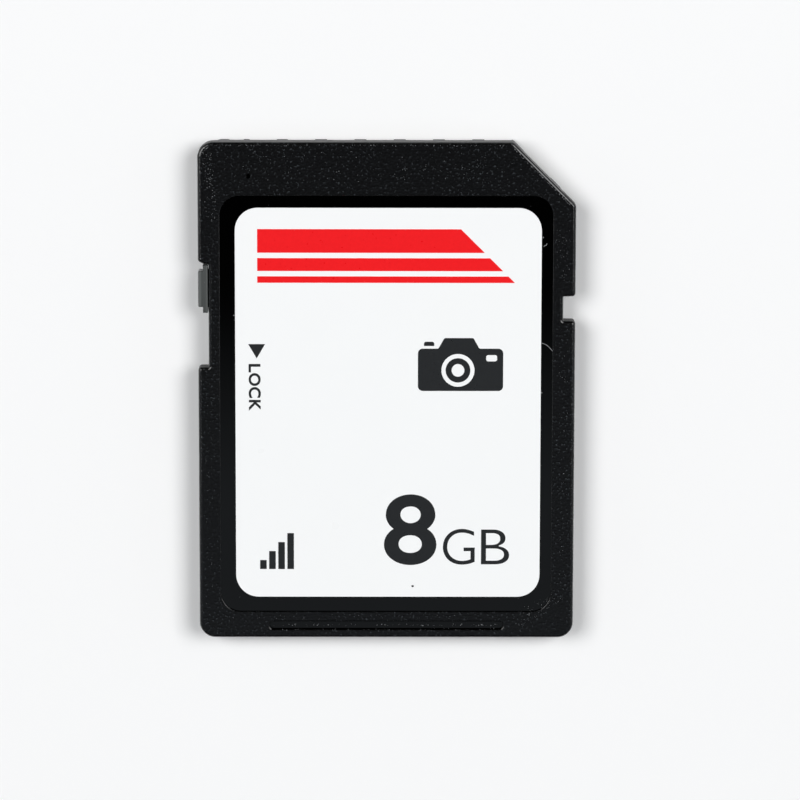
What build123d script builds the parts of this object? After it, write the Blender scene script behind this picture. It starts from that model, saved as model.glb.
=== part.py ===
"""Full-size SD memory card: two welded shells, a circuit board with nine contacts and a sliding write lock.

The card lies on its contact side with the label up. X runs across the card, Y runs along it towards the
leading (contact) edge, and Z is up. The origin is the middle of the back face. All sizes are millimetres.
"""

import os

from build123d import *

# Card envelope
card_width = 24.0
card_length = 32.0
card_thickness = 2.1
corner_radius = 1.0
corner_cut = 4.0
cut_corner_radius = 0.3
edge_round = 0.2
seam_chamfer = 0.04

# Guide rails along both sides of the contact face, and the thicker plateau between them
rail_width = 0.9
rail_step = 0.7
plateau_corner_radius = 0.6

# Latch notch in the right side, measured from the leading edge
latch_notch_start = 9.84
latch_notch_length = 1.56
latch_notch_depth = 0.775
notch_corner_radius = 0.22
notch_root_radius = 0.08

# Lock notch in the left side, measured from the leading edge, with a slanted lead-in at its outer corner
lock_notch_start = 7.80
lock_notch_length = 6.60
lock_notch_depth = 0.666
lock_notch_slant_rise = 0.20
lock_notch_slant_run = 0.38

# Label side: recess, sticker, finger groove and the mark that the moulding gate leaves
recess_depth = 0.15
recess_corner_radius = 1.25
rim_left = 1.39
rim_right = 1.45
rim_leading = 3.42
rim_trailing = 1.71
recess_rim_round = 0.05
label_thickness = 0.10
label_margin_left = 0.96
label_margin_right = 0.72
label_margin_leading = 0.765
label_margin_trailing = 0.97
label_corner_radius = 1.45
groove_length = 15.0
groove_width = 0.50
groove_depth = 0.26
groove_inset = 0.55
groove_rim_round = 0.09
gate_mark_diameter = 0.32
gate_mark_bottom_diameter = 0.16
gate_mark_depth = 0.12
gate_mark_from_left = 3.22
gate_mark_from_leading = 2.18

# Shell walls, and the ledge and ribs that the board rests on
side_wall = 1.5
leading_wall = 0.9
trailing_wall = 1.5
floor_thickness = 0.35
roof_thickness = 0.25
ledge_width = 1.0
support_rib_width = 0.6
support_rib_count = 3

# Ribs under the top cover that hold the board down, and posts that weld the shells together
hold_down_overhang = 0.5
hold_down_length = 2.4
hold_down_edge_gap = 0.15
weld_post_diameter = 0.7
weld_post_height = 0.20
weld_post_clearance = 0.05
weld_post_from_leading_left = 4.0
weld_post_from_leading_right = 6.5
weld_post_from_side = 3.0

# Circuit board
board_thickness = 0.35
board_clearance = 0.10
board_corner_radius = 0.4

# Contacts: nine slots with ribs between them. Contact 9 is beside the cut corner.
contact_depth = 0.70
contact_plating = 0.03
contact_edge_margin = 0.8375
contact_seventh_step_less = 0.075
contact_eighth_step_less = 0.80
contact_rib_width = 0.75
contact_thin_rib_width = 0.35
contact_slot_clearance = 0.10
contact_slot_length = 6.6
contact_pad_leading_gap = 0.45
contact_pad_end_gap = 0.5
contact_cut_clearance = 0.15

# Write-lock slider: knob and base outside the lip, neck through it and flange behind it
slider_clearance = 0.06
slider_end_gap = 0.07
slider_inset = 0.01
slider_face_drop = 0.08
slider_round = 0.08
slider_knob_length = 2.31
slider_knob_depth = 0.30
slider_base_length = 3.05
slider_shoulder = 0.30
neck_thickness = 0.32
flange_thickness = 0.60
lip_thickness = 0.38
lip_step = 0.20

# Flash package with gull-wing leads
chip_gap = 1.6
chip_headroom = 0.10
chip_standoff = 0.05
chip_corner_round = 0.08
flash_side_margin = 1.9
lead_reach = 0.8
lead_pitch = 0.5
lead_width = 0.22
lead_thickness = 0.10
lead_foot = 0.45
lead_row_end_gap = 0.10

# Controller with solder pads along its four sides
controller_size = 7.0
controller_headroom = 0.15
controller_side_gap = 2.0
controller_pad_pitch = 0.8
controller_pad_length = 0.45
controller_pad_width = 0.30

# Capacitors and resistors in two rows beside the controller
passive_length = 1.0
passive_width = 0.5
passive_headroom = 0.18
passive_cap_length = 0.25
passive_cap_rise = 0.02
passive_pitch = 1.5
passive_row_gap = 1.8
passive_count = 4

# Heights
recess_floor = card_thickness - recess_depth
ceiling = recess_floor - roof_thickness
board_bottom = contact_depth
board_top = board_bottom + board_thickness
channel_floor = max(rail_step, contact_depth) + lip_step
parting = (channel_floor + ceiling) / 2

# Card outline and the label recess
half_width = card_width / 2
half_length = card_length / 2
diagonal = 2**0.5
cut_line = half_width + half_length - corner_cut
plateau_half_width = half_width - rail_width
recess_left = -half_width + rim_left
recess_right = half_width - rim_right
recess_low = -half_length + rim_trailing
recess_high = half_length - rim_leading

# Board and the pocket that it lies in, both with a corner cut along a line x + y
pocket_half_width = half_width - side_wall
pocket_low = -half_length + trailing_wall
pocket_high = half_length - leading_wall
pocket_cut_line = cut_line - leading_wall * diagonal
board_half_width = pocket_half_width - board_clearance
board_low = pocket_low + board_clearance
board_high = pocket_high - board_clearance
board_cut_line = pocket_cut_line - board_clearance * diagonal

# Side notches
latch_notch_high = half_length - latch_notch_start
latch_notch_low = latch_notch_high - latch_notch_length
latch_notch_floor = half_width - latch_notch_depth
lock_notch_high = half_length - lock_notch_start
lock_notch_low = lock_notch_high - lock_notch_length
lock_notch_floor = -half_width + lock_notch_depth

# Contact row across the board: six full steps, then a slightly shorter one and a short one
contact_ninth = board_half_width - contact_edge_margin
contact_steps_less = contact_seventh_step_less + contact_eighth_step_less
contact_pitch = (2 * contact_ninth + contact_steps_less) / 8
contact_slot_low = half_length - contact_slot_length
contact_slot_width = contact_pitch - contact_rib_width

# Slider at the unlocked end of its notch
slider_high = lock_notch_high - slider_end_gap
slider_low = slider_high - slider_base_length
slider_middle = (slider_high + slider_low) / 2
slider_travel = slider_low - lock_notch_low - slider_end_gap
lip_inner = lock_notch_floor + lip_thickness
flange_outer = lip_inner + slider_clearance
flange_inner = flange_outer + flange_thickness
neck_span_y = (slider_low + slider_shoulder, slider_high - slider_shoulder)
neck_span_z = (parting - neck_thickness / 2, parting + neck_thickness / 2)


def block(x_span, y_span, z_span):
    """Box between the two ends given along each axis."""
    spans = (x_span, y_span, z_span)
    middle = [(low + high) / 2 for low, high in spans]
    size = [high - low for low, high in spans]
    return Pos(*middle) * Box(*size)


def around(middle, length):
    """Both ends of a length laid evenly about its middle."""
    return middle - length / 2, middle + length / 2


def prism(corners, z_span):
    """Upright solid over a closed outline given as (x, y, corner radius)."""
    points = [(x, y) for x, y, _ in corners]
    radii = [radius for _, _, radius in corners]
    face = make_face(FilletPolyline(*points, radius=radii, close=True))
    return Pos(0, 0, z_span[0]) * extrude(face, z_span[1] - z_span[0])


def rounded_box(x_span, y_span, z_span, radius):
    """Box whose upright edges are rounded."""
    corners = [
        (x_span[0], y_span[0], radius),
        (x_span[1], y_span[0], radius),
        (x_span[1], y_span[1], radius),
        (x_span[0], y_span[1], radius),
    ]
    return prism(corners, z_span)


def edges_at(part, height):
    """Edges that lie flat at one height."""
    tolerance = 1e-4
    return part.edges().filter_by_position(Axis.Z, height - tolerance, height + tolerance)


def edges_within(edges, x_span, y_span):
    """Those edges whose middle lies inside a rectangle."""
    inside = []
    for edge in edges:
        middle = edge.center(CenterOf.BOUNDING_BOX)
        if x_span[0] <= middle.X <= x_span[1] and y_span[0] <= middle.Y <= y_span[1]:
            inside.append(edge)
    return inside


def card_outline():
    """The card seen from the label side, with its cut corner and both side notches."""
    return [
        (-half_width, -half_length, corner_radius),
        (half_width, -half_length, corner_radius),
        (half_width, latch_notch_low, notch_corner_radius),
        (latch_notch_floor, latch_notch_low, notch_root_radius),
        (latch_notch_floor, latch_notch_high, notch_root_radius),
        (half_width, latch_notch_high, notch_corner_radius),
        (half_width, half_length - corner_cut, cut_corner_radius),
        (half_width - corner_cut, half_length, cut_corner_radius),
        (-half_width, half_length, corner_radius),
        (-half_width, lock_notch_high + lock_notch_slant_rise, notch_corner_radius),
        (-half_width + lock_notch_slant_run, lock_notch_high, notch_corner_radius),
        (lock_notch_floor, lock_notch_high, notch_root_radius),
        (lock_notch_floor, lock_notch_low, notch_root_radius),
        (-half_width, lock_notch_low, notch_corner_radius),
    ]


def plateau_outline():
    """The thick middle of the contact side, between the guide rails."""
    return [
        (-plateau_half_width, -half_length, plateau_corner_radius),
        (plateau_half_width, -half_length, plateau_corner_radius),
        (plateau_half_width, cut_line - plateau_half_width, cut_corner_radius),
        (cut_line - half_length, half_length, cut_corner_radius),
        (-plateau_half_width, half_length, plateau_corner_radius),
    ]


def board_outline(half, low, high, cut):
    """A plate inside the card that follows the cut corner."""
    return [
        (-half, low, board_corner_radius),
        (half, low, board_corner_radius),
        (half, cut - half, board_corner_radius),
        (cut - high, high, board_corner_radius),
        (-half, high, board_corner_radius),
    ]


def contact_places():
    """Middle and slot width of contacts 1 to 9, keyed by number."""
    places = {9: (contact_ninth, contact_slot_width)}
    for number in range(1, 7):
        places[number] = (contact_ninth - number * contact_pitch, contact_slot_width)
    seventh = places[6][0] - contact_pitch + contact_seventh_step_less
    places[7] = (seventh, contact_slot_width)
    eighth_step = contact_pitch - contact_eighth_step_less
    eighth_half_slot = eighth_step - contact_slot_width / 2 - contact_thin_rib_width
    places[8] = (seventh - eighth_step, 2 * eighth_half_slot)
    return places


def weld_post_places():
    """Posts in the shells' walls where the two shells are welded together."""
    side = half_width - side_wall / 2
    trailing = -half_length + trailing_wall / 2
    return [
        (-side, half_length - weld_post_from_leading_left),
        (side, half_length - weld_post_from_leading_right),
        (-half_width + weld_post_from_side, trailing),
        (half_width - weld_post_from_side, trailing),
    ]


def lock_channel():
    """Room between the shells for the slider's neck and flange, over its whole travel."""
    slot_y = (neck_span_y[0] - slider_travel - slider_clearance, neck_span_y[1] + slider_clearance)
    slot_z = (neck_span_z[0] - slider_clearance, neck_span_z[1] + slider_clearance)
    slot = block((-half_width, flange_outer), slot_y, slot_z)
    pocket_inner = max(flange_inner + slider_clearance, -pocket_half_width + hold_down_overhang)
    pocket = block((lip_inner, pocket_inner), (lock_notch_low, lock_notch_high), (channel_floor, ceiling))
    return slot + pocket


def hold_down_ribs():
    """Short ribs under the top cover's walls that press the board onto its ledge."""
    near = board_clearance + hold_down_edge_gap
    far = hold_down_overhang
    right = (pocket_half_width - far, pocket_half_width - near)
    left = (near - pocket_half_width, far - pocket_half_width)
    leading = (pocket_high - far, pocket_high - near)
    trailing = (pocket_low + near, pocket_low + far)
    side_trailing = around((pocket_low + lock_notch_low) / 2, hold_down_length)
    left_leading = around((lock_notch_high + pocket_high) / 2, hold_down_length)
    cut_start = pocket_cut_line - pocket_half_width
    right_leading = around((latch_notch_high + cut_start) / 2, hold_down_length)
    left_half = around(-pocket_half_width / 2, hold_down_length)
    right_half = around(pocket_half_width / 2, hold_down_length)
    footprints = [
        (left, side_trailing),
        (right, side_trailing),
        (left, left_leading),
        (right, right_leading),
        (left_half, leading),
        (right_half, leading),
        (left_half, trailing),
        (right_half, trailing),
    ]
    return [block(x_span, y_span, (board_top, parting)) for x_span, y_span in footprints]


def top_cover():
    """Label-side shell."""
    cover = prism(card_outline(), (parting, card_thickness))
    cover = fillet(edges_at(cover, card_thickness), edge_round)
    cover = chamfer(edges_at(cover, parting), seam_chamfer)

    recess_x = (recess_left, recess_right)
    recess_y = (recess_low, recess_high)
    cover -= rounded_box(recess_x, recess_y, (recess_floor, card_thickness), recess_corner_radius)
    groove_middle = -half_length + groove_inset + groove_width / 2
    groove = extrude(SlotOverall(groove_length, groove_width), groove_depth)
    cover -= Pos(0, groove_middle, card_thickness - groove_depth) * groove
    recess_rim = edges_within(edges_at(cover, card_thickness), recess_x, recess_y)
    cover = fillet(recess_rim, recess_rim_round)
    groove_x = around(0, groove_length)
    groove_y = around(groove_middle, groove_width)
    groove_rim = edges_within(edges_at(cover, card_thickness), groove_x, groove_y)
    cover = fillet(groove_rim, groove_rim_round)

    gate_x = -half_width + gate_mark_from_left
    gate_y = half_length - gate_mark_from_leading
    gate_mark = Cone(gate_mark_bottom_diameter / 2, gate_mark_diameter / 2, gate_mark_depth)
    cover -= Pos(gate_x, gate_y, card_thickness - gate_mark_depth / 2) * gate_mark

    room_half_width = pocket_half_width - hold_down_overhang
    room_low = pocket_low + hold_down_overhang
    room_high = pocket_high - hold_down_overhang
    room_cut_line = pocket_cut_line - hold_down_overhang * diagonal
    cover -= prism(board_outline(room_half_width, room_low, room_high, room_cut_line), (parting, ceiling))
    cover -= lock_channel()
    socket_radius = weld_post_diameter / 2 + weld_post_clearance
    socket_depth = weld_post_height + weld_post_clearance
    for x, y in weld_post_places():
        cover -= Pos(x, y, parting + socket_depth / 2) * Cylinder(socket_radius, socket_depth)
    for rib in hold_down_ribs():
        cover += rib
    return cover


def bottom_cover():
    """Contact-side shell, with the guide rails, the contact slots and the board's seat."""
    slab = prism(card_outline(), (rail_step, parting))
    slab = fillet(edges_at(slab, rail_step), edge_round)
    slab = chamfer(edges_at(slab, parting), seam_chamfer)
    plateau_top = rail_step + edge_round
    plateau = prism(plateau_outline(), (0, plateau_top))
    plateau = fillet(edges_at(plateau, 0), edge_round)
    cover = slab + (plateau & prism(card_outline(), (0, plateau_top)))

    pocket = board_outline(pocket_half_width, pocket_low, pocket_high, pocket_cut_line)
    cover -= prism(pocket, (board_bottom, parting))
    cover -= lock_channel()
    well_x = (-pocket_half_width + ledge_width, pocket_half_width - ledge_width)
    well_y = (pocket_low + ledge_width, contact_slot_low - ledge_width)
    well_z = (floor_thickness, board_bottom)
    cover -= rounded_box(well_x, well_y, well_z, board_corner_radius)
    rib_step = (well_y[1] - well_y[0]) / (support_rib_count + 1)
    for number in range(1, support_rib_count + 1):
        cover += block(well_x, around(well_y[0] + number * rib_step, support_rib_width), well_z)
    for middle, width in contact_places().values():
        cover -= block(around(middle, width), (contact_slot_low, half_length), (0, contact_depth))
    for x, y in weld_post_places():
        post = Cylinder(weld_post_diameter / 2, weld_post_height)
        cover += Pos(x, y, parting + weld_post_height / 2) * post
    return cover


def front_label():
    """White sticker lying on the recess floor."""
    label_x = (recess_left + label_margin_left, recess_right - label_margin_right)
    label_y = (recess_low + label_margin_trailing, recess_high - label_margin_leading)
    label_z = (recess_floor, recess_floor + label_thickness)
    return rounded_box(label_x, label_y, label_z, label_corner_radius)


def lock_slider():
    """Write-lock button: knob and base outside the lip, and a neck to the flange that the lip holds in."""
    knob_outer = -half_width + slider_inset
    knob_inner = knob_outer + slider_knob_depth
    base_inner = lock_notch_floor - slider_clearance
    face = (rail_step + slider_face_drop, card_thickness - slider_face_drop)
    base_y = (slider_low, slider_high)
    knob = block((knob_outer, knob_inner), around(slider_middle, slider_knob_length), face)
    hidden = knob.faces().sort_by(Axis.X)[-1].edges()
    knob = fillet([edge for edge in knob.edges() if edge not in hidden], slider_round)
    base = block((knob_inner, base_inner), base_y, face)
    base = fillet(base.edges().filter_by(Axis.X), slider_round)
    neck = block((base_inner, flange_outer), neck_span_y, neck_span_z)
    flange_z = (channel_floor + slider_clearance, ceiling - slider_clearance)
    flange = block((flange_outer, flange_inner), base_y, flange_z)
    return knob + base + neck + flange


def circuit_board():
    """Board that carries the contacts below and the chips above, cut back beside the slider."""
    outline = board_outline(board_half_width, board_low, board_high, board_cut_line)
    board = prism(outline, (board_bottom, board_top))
    relief_x = (-half_width, flange_inner + board_clearance)
    relief_y = (lock_notch_low - board_clearance, lock_notch_high + board_clearance)
    return board - block(relief_x, relief_y, (board_bottom, board_top))


def contact(number):
    """Gold-plated pad on the underside of the board."""
    middle, slot_width = contact_places()[number]
    pad_x = around(middle, slot_width - 2 * contact_slot_clearance)
    beside_cut = board_cut_line - pad_x[1] - contact_cut_clearance
    pad_y = (contact_slot_low + contact_pad_end_gap, min(board_high - contact_pad_leading_gap, beside_cut))
    return block(pad_x, pad_y, (board_bottom - contact_plating, board_bottom))


def flash_spans():
    """Flash package: width over the leads, and the body's extent along the card and in height."""
    tip = board_half_width - flash_side_margin
    low = board_low + chip_gap
    high = contact_slot_low - 2 * chip_gap - controller_size
    return (-tip, tip), (low, high), (board_top + chip_standoff, ceiling - chip_headroom)


def flash_chip():
    """Moulded body of the flash memory package."""
    tips, along, height = flash_spans()
    body_x = (tips[0] + lead_reach, tips[1] - lead_reach)
    return rounded_box(body_x, along, height, chip_corner_round)


def flash_leads():
    """Gull-wing leads on both sides of the flash package, each its own solid."""
    tips, along, height = flash_spans()
    shoulder = around((height[0] + height[1]) / 2, lead_thickness)
    body_edge = tips[1] - lead_reach
    knee = tips[1] - lead_foot
    foot_top = board_top + lead_thickness
    profile = [
        (body_edge, shoulder[0]),
        (knee - lead_thickness, shoulder[0]),
        (knee - lead_thickness, board_top),
        (tips[1], board_top),
        (tips[1], foot_top),
        (knee, foot_top),
        (knee, shoulder[1]),
        (body_edge, shoulder[1]),
    ]
    section = Plane.XZ * make_face(Polyline(*profile, close=True))
    lead = Pos(0, lead_width / 2, 0) * extrude(section, lead_width)
    row = along[1] - along[0] - 2 * lead_row_end_gap - lead_width
    count = int(row / lead_pitch) + 1
    first = (along[0] + along[1] - (count - 1) * lead_pitch) / 2
    leads = []
    for index in range(count):
        right = Pos(0, first + index * lead_pitch, 0) * lead
        leads.append(right)
        leads.append(mirror(right, Plane.YZ))
    return Compound(children=leads)


def controller_middle():
    """Centre of the controller, between the flash package and the contacts."""
    right = board_half_width - controller_side_gap
    high = contact_slot_low - chip_gap
    return right - controller_size / 2, high - controller_size / 2


def controller_chip():
    """Moulded body of the controller, standing on its pads."""
    x, y = controller_middle()
    height = (board_top + chip_standoff, ceiling - controller_headroom)
    return rounded_box(around(x, controller_size), around(y, controller_size), height, chip_corner_round)


def controller_pads():
    """Solder pads under the four sides of the controller, each its own solid."""
    x, y = controller_middle()
    pad_x = (controller_size / 2 - controller_pad_length, controller_size / 2)
    pad_z = (board_top, board_top + chip_standoff)
    count = int((controller_size - 2 * controller_pad_length) / controller_pad_pitch)
    pads = []
    for index in range(count):
        step = (index - (count - 1) / 2) * controller_pad_pitch
        pad = block(pad_x, around(step, controller_pad_width), pad_z)
        for quarter in range(4):
            pads.append(Pos(x, y, 0) * (Rot(0, 0, 90 * quarter) * pad))
    return Compound(children=pads)


def passive(place, row):
    """Chip capacitor or resistor beside the controller: a block with slightly thicker metal ends."""
    controller_x, controller_y = controller_middle()
    x = controller_x - controller_size / 2 - row * passive_row_gap
    y = controller_y + (place - (passive_count - 1) / 2) * passive_pitch
    top = ceiling - passive_headroom
    inner = passive_length / 2 - passive_cap_length
    core_width = passive_width - 2 * passive_cap_rise
    core = block((-inner, inner), around(0, core_width), (board_top, top - passive_cap_rise))
    cap = block((inner, passive_length / 2), around(0, passive_width), (board_top, top))
    return Pos(x, y, 0) * (core + cap + mirror(cap, Plane.YZ))


def all_parts():
    """Every piece of the card by name."""
    parts = {
        "top_cover": top_cover(),
        "bottom_cover": bottom_cover(),
        "front_label": front_label(),
        "lock_slider": lock_slider(),
        "circuit_board": circuit_board(),
        "flash_chip": flash_chip(),
        "flash_leads": flash_leads(),
        "controller_chip": controller_chip(),
        "controller_pads": controller_pads(),
    }
    for number in contact_places():
        parts[f"contact_{number}"] = contact(number)
    for place in range(passive_count):
        parts[f"capacitor_{place + 1}"] = passive(place, 1)
        parts[f"resistor_{place + 1}"] = passive(place, 2)
    return parts


os.makedirs("parts", exist_ok=True)
for name, part in all_parts().items():
    export_step(part, f"parts/{name}.step")
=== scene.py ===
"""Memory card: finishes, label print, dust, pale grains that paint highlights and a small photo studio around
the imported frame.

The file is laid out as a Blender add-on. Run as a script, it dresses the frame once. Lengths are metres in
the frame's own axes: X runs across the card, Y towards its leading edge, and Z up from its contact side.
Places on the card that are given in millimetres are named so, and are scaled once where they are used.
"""

import math
import random

import bmesh
import bpy
from bpy.props import FloatProperty, FloatVectorProperty, IntProperty, PointerProperty, StringProperty
from mathutils import Matrix, Vector


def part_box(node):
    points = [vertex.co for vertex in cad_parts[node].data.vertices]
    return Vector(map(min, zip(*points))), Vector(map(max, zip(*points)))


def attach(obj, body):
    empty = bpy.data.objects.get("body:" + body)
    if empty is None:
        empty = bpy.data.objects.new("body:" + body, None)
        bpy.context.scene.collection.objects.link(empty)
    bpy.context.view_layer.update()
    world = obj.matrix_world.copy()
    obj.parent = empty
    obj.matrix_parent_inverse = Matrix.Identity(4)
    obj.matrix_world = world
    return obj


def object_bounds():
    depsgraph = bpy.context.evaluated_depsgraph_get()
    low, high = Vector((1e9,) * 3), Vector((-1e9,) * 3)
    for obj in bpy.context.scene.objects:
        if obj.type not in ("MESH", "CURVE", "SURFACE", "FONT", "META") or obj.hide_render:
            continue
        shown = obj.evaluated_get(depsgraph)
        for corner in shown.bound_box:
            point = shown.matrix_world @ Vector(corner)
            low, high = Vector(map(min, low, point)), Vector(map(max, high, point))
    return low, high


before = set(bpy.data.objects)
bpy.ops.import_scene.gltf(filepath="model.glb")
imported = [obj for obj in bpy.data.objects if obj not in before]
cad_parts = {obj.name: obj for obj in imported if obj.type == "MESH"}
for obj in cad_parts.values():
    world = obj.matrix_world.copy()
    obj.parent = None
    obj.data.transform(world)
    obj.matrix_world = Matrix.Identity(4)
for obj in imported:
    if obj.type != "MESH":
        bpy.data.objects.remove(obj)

bl_info = {
    "name": "Memory card",
    "version": (1, 0, 0),
    "blender": (4, 5, 0),
    "location": "View3D > Sidebar > Card",
    "description": "Finishes, label print, dust and studio for a memory card",
    "category": "Object",
}

MM = 0.001
CARD = "card"

cad_low, cad_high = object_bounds()
card_top = cad_high.z
label_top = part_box("front_label")[1].z
slider_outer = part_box("lock_slider")[0].x

# Sockets of a Mix node that mixes colours
MIX_FACTOR, MIX_FIRST, MIX_SECOND, MIX_RESULT = 0, 6, 7, 2

# Print on the label, in millimetres: x low, x high, y low, y high of each mark or letter
BAND_BOX = (-8.23, 8.14, 7.03, 10.46)
PICTOGRAM_BOX = (1.99, 7.42, 0.08, 3.49)
ARROW_BOX = (-8.82, -7.75, 2.17, 3.09)
STEPS_BOX = (-8.11, -5.94, -11.51, -9.16)
NUMBER_BOXES = ((-0.16, 3.20, -11.24, -6.63),)
UNIT_BOXES = ((3.62, 5.66, -11.21, -8.88), (6.07, 7.87, -11.19, -8.92))
SWITCH_WORD_BOXES = (
    (-8.80, -8.05, 1.27, 1.81),
    (-8.80, -8.04, 0.39, 1.22),
    (-8.80, -8.03, -0.38, 0.32),
    (-8.79, -8.04, -1.21, -0.51),
)

# How much bolder or lighter than the font the letters are, as a share of its size
NUMBER_WEIGHT, UNIT_WEIGHT, SWITCH_WORD_WEIGHT = 0.016, -0.010, 0.027

# Share of the band's height that each stripe and each gap between stripes takes, from the top down
BAND_STRIPES = (0.44, 0.24, 0.12)
BAND_GAP = 0.10

# Rising bars: how many, and the share of the spacing that each bar takes
STEP_COUNT = 4
STEP_WIDTH = 0.72

# Strips of painted highlight along the slider's two long edges, where their rounding catches the light, in
# millimetres from its outer side: middle and half the width
SLIDER_HIGHLIGHT_STRIPS = ((0.11, 0.07), (0.565, 0.03))

# Part of the label side that has the mould's polish and a darker colour that paints shade, in millimetres:
# where it starts and ends below the face, and how far it stays from the long sides and from the ends of the
# card
POLISH_START, POLISH_END = 0.003, 0.397
POLISH_OFF_SIDES, POLISH_OFF_ENDS = 0.8, 0.5

# Pale grains in millimetres: start and end of a stretch, how far grains stray from it, how many, largest
# grain.
# Part is dust; the rest is painted highlight: dotted lines along the rounded leading edge, cut corner and
# top-left corner, and specks where the grain catches the lights
DUST_AND_GLINT_STRETCHES = (
    ((-11.3, 15.79), (7.7, 15.79), 0.04, 90, 0.070),
    ((8.03, 15.60), (11.60, 12.03), 0.03, 90, 0.090),
    ((-11.80, 15.20), (-11.20, 15.80), 0.05, 16, 0.080),
    ((-11.35, 15.20), (-11.10, 11.00), 0.35, 80, 0.070),
    ((-10.40, 14.40), (9.20, 14.40), 1.00, 150, 0.055),
    ((-11.30, 10.00), (-11.30, -14.00), 0.30, 50, 0.050),
    ((11.30, 11.00), (11.30, -14.00), 0.30, 60, 0.050),
    ((-7.30, -15.22), (7.30, -15.22), 0.07, 70, 0.080),
    ((-7.30, -15.47), (7.30, -15.47), 0.03, 30, 0.055),
    ((-10.50, -14.60), (10.50, -14.60), 0.18, 34, 0.045),
    ((-9.70, 11.92), (9.80, 11.92), 0.05, 5, 0.050),
    ((-9.60, -13.42), (9.70, -13.42), 0.04, 14, 0.045),
    ((8.60, -14.90), (11.10, -13.20), 0.45, 70, 0.055),
    ((11.10, 10.50), (11.10, 7.00), 0.35, 40, 0.055),
)
SMALLEST_GRAIN = 0.022

# Single crumbs and fibres on the card, in millimetres: x, y and size of a crumb, and a fibre's places
DARK_CRUMBS = ((1.68, -12.62, 0.17),)
PALE_CRUMBS = ((9.92, 9.93, 0.13), (-9.71, 4.92, 0.15), (9.88, -0.05, 0.12), (-9.70, 4.62, 0.07))
FIBRES = (
    ((9.84, 3.16), (10.05, 3.12), (10.33, 2.93), (10.56, 2.66)),
    ((9.96, 9.33), (10.04, 9.46), (10.12, 9.40), (10.16, 9.55)),
)
FIBRE_WIDTH = 0.045

# Clear window in the floor where the card rests on it, in millimetres: half its width, half its length, and
# the most that x and y add up to beside the cut corner
WINDOW_WIDTH, WINDOW_LENGTH, WINDOW_CORNER = 10.8, 15.7, 23.5

# A hair between the card and the floor, so that the two faces never coincide
FLOOR_GAP = 0.02 * MM

# Middle of the picture on the card, in millimetres
SEEN_MIDDLE = (0.85, -0.50)

# Sines of the angles over which the room's light fades: to each side of the window sill, and from where
# the pale walls begin to darken to where they are dark, counted from straight sideways
SILL_FADE = 0.05
WALL_ENDS = (0.5, 0.7)


def linear(code):
    """Linear RGBA of an sRGB colour written as hex."""
    channels = [int(code[start:start + 2], 16) / 255 for start in (1, 3, 5)]
    lights = [c / 12.92 if c <= 0.04045 else ((c + 0.055) / 1.055) ** 2.4 for c in channels]
    return (*lights, 1.0)


def colour(name, description, code):
    """A colour that a user may change."""
    return FloatVectorProperty(
        name=name, description=description, subtype="COLOR", size=4, min=0, max=1, default=linear(code)
    )


def length(name, description, metres):
    """A length that a user may change."""
    return FloatProperty(
        name=name, description=description, unit="LENGTH", precision=5, min=0, default=metres
    )


def angle(name, description, degrees):
    """An angle that a user may change."""
    return FloatProperty(name=name, description=description, subtype="ANGLE", default=math.radians(degrees))


def share(name, description, value):
    """A share from 0 to 1 that a user may change."""
    return FloatProperty(name=name, description=description, subtype="FACTOR", min=0, max=1, default=value)


class ShellFinish(bpy.types.PropertyGroup):
    """The two moulded shells."""

    plastic: colour("Plastic", "Colour of the moulded shells", "#040405")
    # The peaks' pale colour is partly wear and partly painted glints, standing for the specks of light the
    # grain catches
    rubbed: colour("Rubbed peaks", "Colour of the grain's peaks, which handling rubs grey", "#35393C")
    # Painted shade: a darker colour than the plastic's for the sunk parts that carry the mould's polish
    polish_and_painted_shade: colour("Polished", "Colour where the mould was polished", "#010101")
    grain: length("Grain", "Width of one grain of the eroded mould", 0.15 * MM)
    grain_depth: length("Grain depth", "Height of the grain from pit to peak", 0.014 * MM)
    handling: length("Handling", "Width of a patch that handling rubs", 4 * MM)
    streak_width: length("Streak width", "Width of the streaks that sockets leave", 0.1 * MM)
    streak_length: length("Streak length", "Length of the streaks that sockets leave", 7 * MM)
    dullness: share("Dullness", "Roughness of the grained faces", 0.18)
    wall_dullness: share("Wall dullness", "Roughness of the upright walls", 0.48)
    polish: share("Polish", "Roughness of the polished label recess", 0.05)


class LockFinish(bpy.types.PropertyGroup):
    """The write-lock slider."""

    plastic: colour("Plastic", "Colour of the slider", "#212423")
    rubbed: colour("Rubbed marks", "Colour of the marks that sliding leaves", "#444746")
    # Painted highlight: colour of the pale strips that stand for light on the rounded long edges
    painted_highlight: colour("Worn edges", "Colour of the long edges, which fingertips rub pale", "#565958")
    drag: length("Drag marks", "Spacing of the marks that sliding leaves", 0.30 * MM)
    drag_length: length("Drag length", "Length of the marks that sliding leaves", 10 * MM)


class LabelPrint(bpy.types.PropertyGroup):
    """The label and what is printed on it."""

    film: colour("Film", "Colour of the label film", "#FAFBFB")
    band: colour("Band", "Colour of the striped band", "#F50A14")
    ink: colour("Ink", "Colour of the dark print", "#1C1E20")
    ink_height: length("Ink height", "How far the ink stands above the film", 0.012 * MM)
    number: StringProperty(name="Number", description="Number printed large", default="8")
    unit: StringProperty(name="Unit", description="Unit printed beside the number", default="GB")
    switch_word: StringProperty(name="Switch word", description="Word beside the slider", default="LOCK")


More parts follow.
